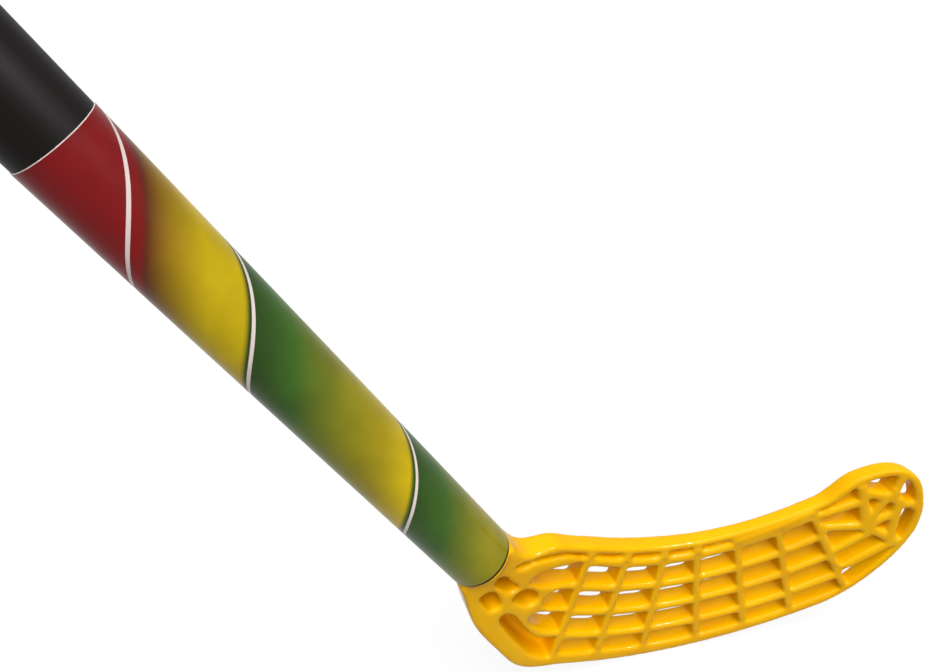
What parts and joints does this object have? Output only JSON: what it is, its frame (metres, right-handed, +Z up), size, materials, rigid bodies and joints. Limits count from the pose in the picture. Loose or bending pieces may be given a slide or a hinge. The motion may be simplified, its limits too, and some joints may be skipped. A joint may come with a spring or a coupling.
{
  "type": "floorball stick",
  "caption": "Floorball stick: a straight round shaft with a wound grip and a printed sleeve, ending in a hooked open-lattice blade of moulded plastic.",
  "frame": {"origin": "on the shaft's axis in the middle of the grip", "axes": "playing pose: +Z up, +X from the blade's heel to its toe, the shaft leans up towards -X in the XZ plane, the blade's forehand face looks towards -Y"},
  "size_m": [0.6053, 0.0418, 0.7307],
  "materials": {
    "blade_plastic": "glossy yellow polyethylene",
    "shaft_composite": "satin black lacquer on glass-fibre composite",
    "label_film": "clear-coated printed film",
    "screw_steel": "zinc-plated steel",
    "grip_wrap": "soft perforated polyurethane tape",
    "band_tape": "satin black finishing tape",
    "cap_plastic": "moulded black plastic"
  },
  "bodies": {
    "root": {"blade": "blade_plastic", "shaft_tube": "shaft_composite", "shaft_label": "label_film", "blade_screw": "screw_steel", "grip_tape": "grip_wrap", "grip_band": "band_tape", "end_cap": "cap_plastic"}
  },
  "joints": []
}
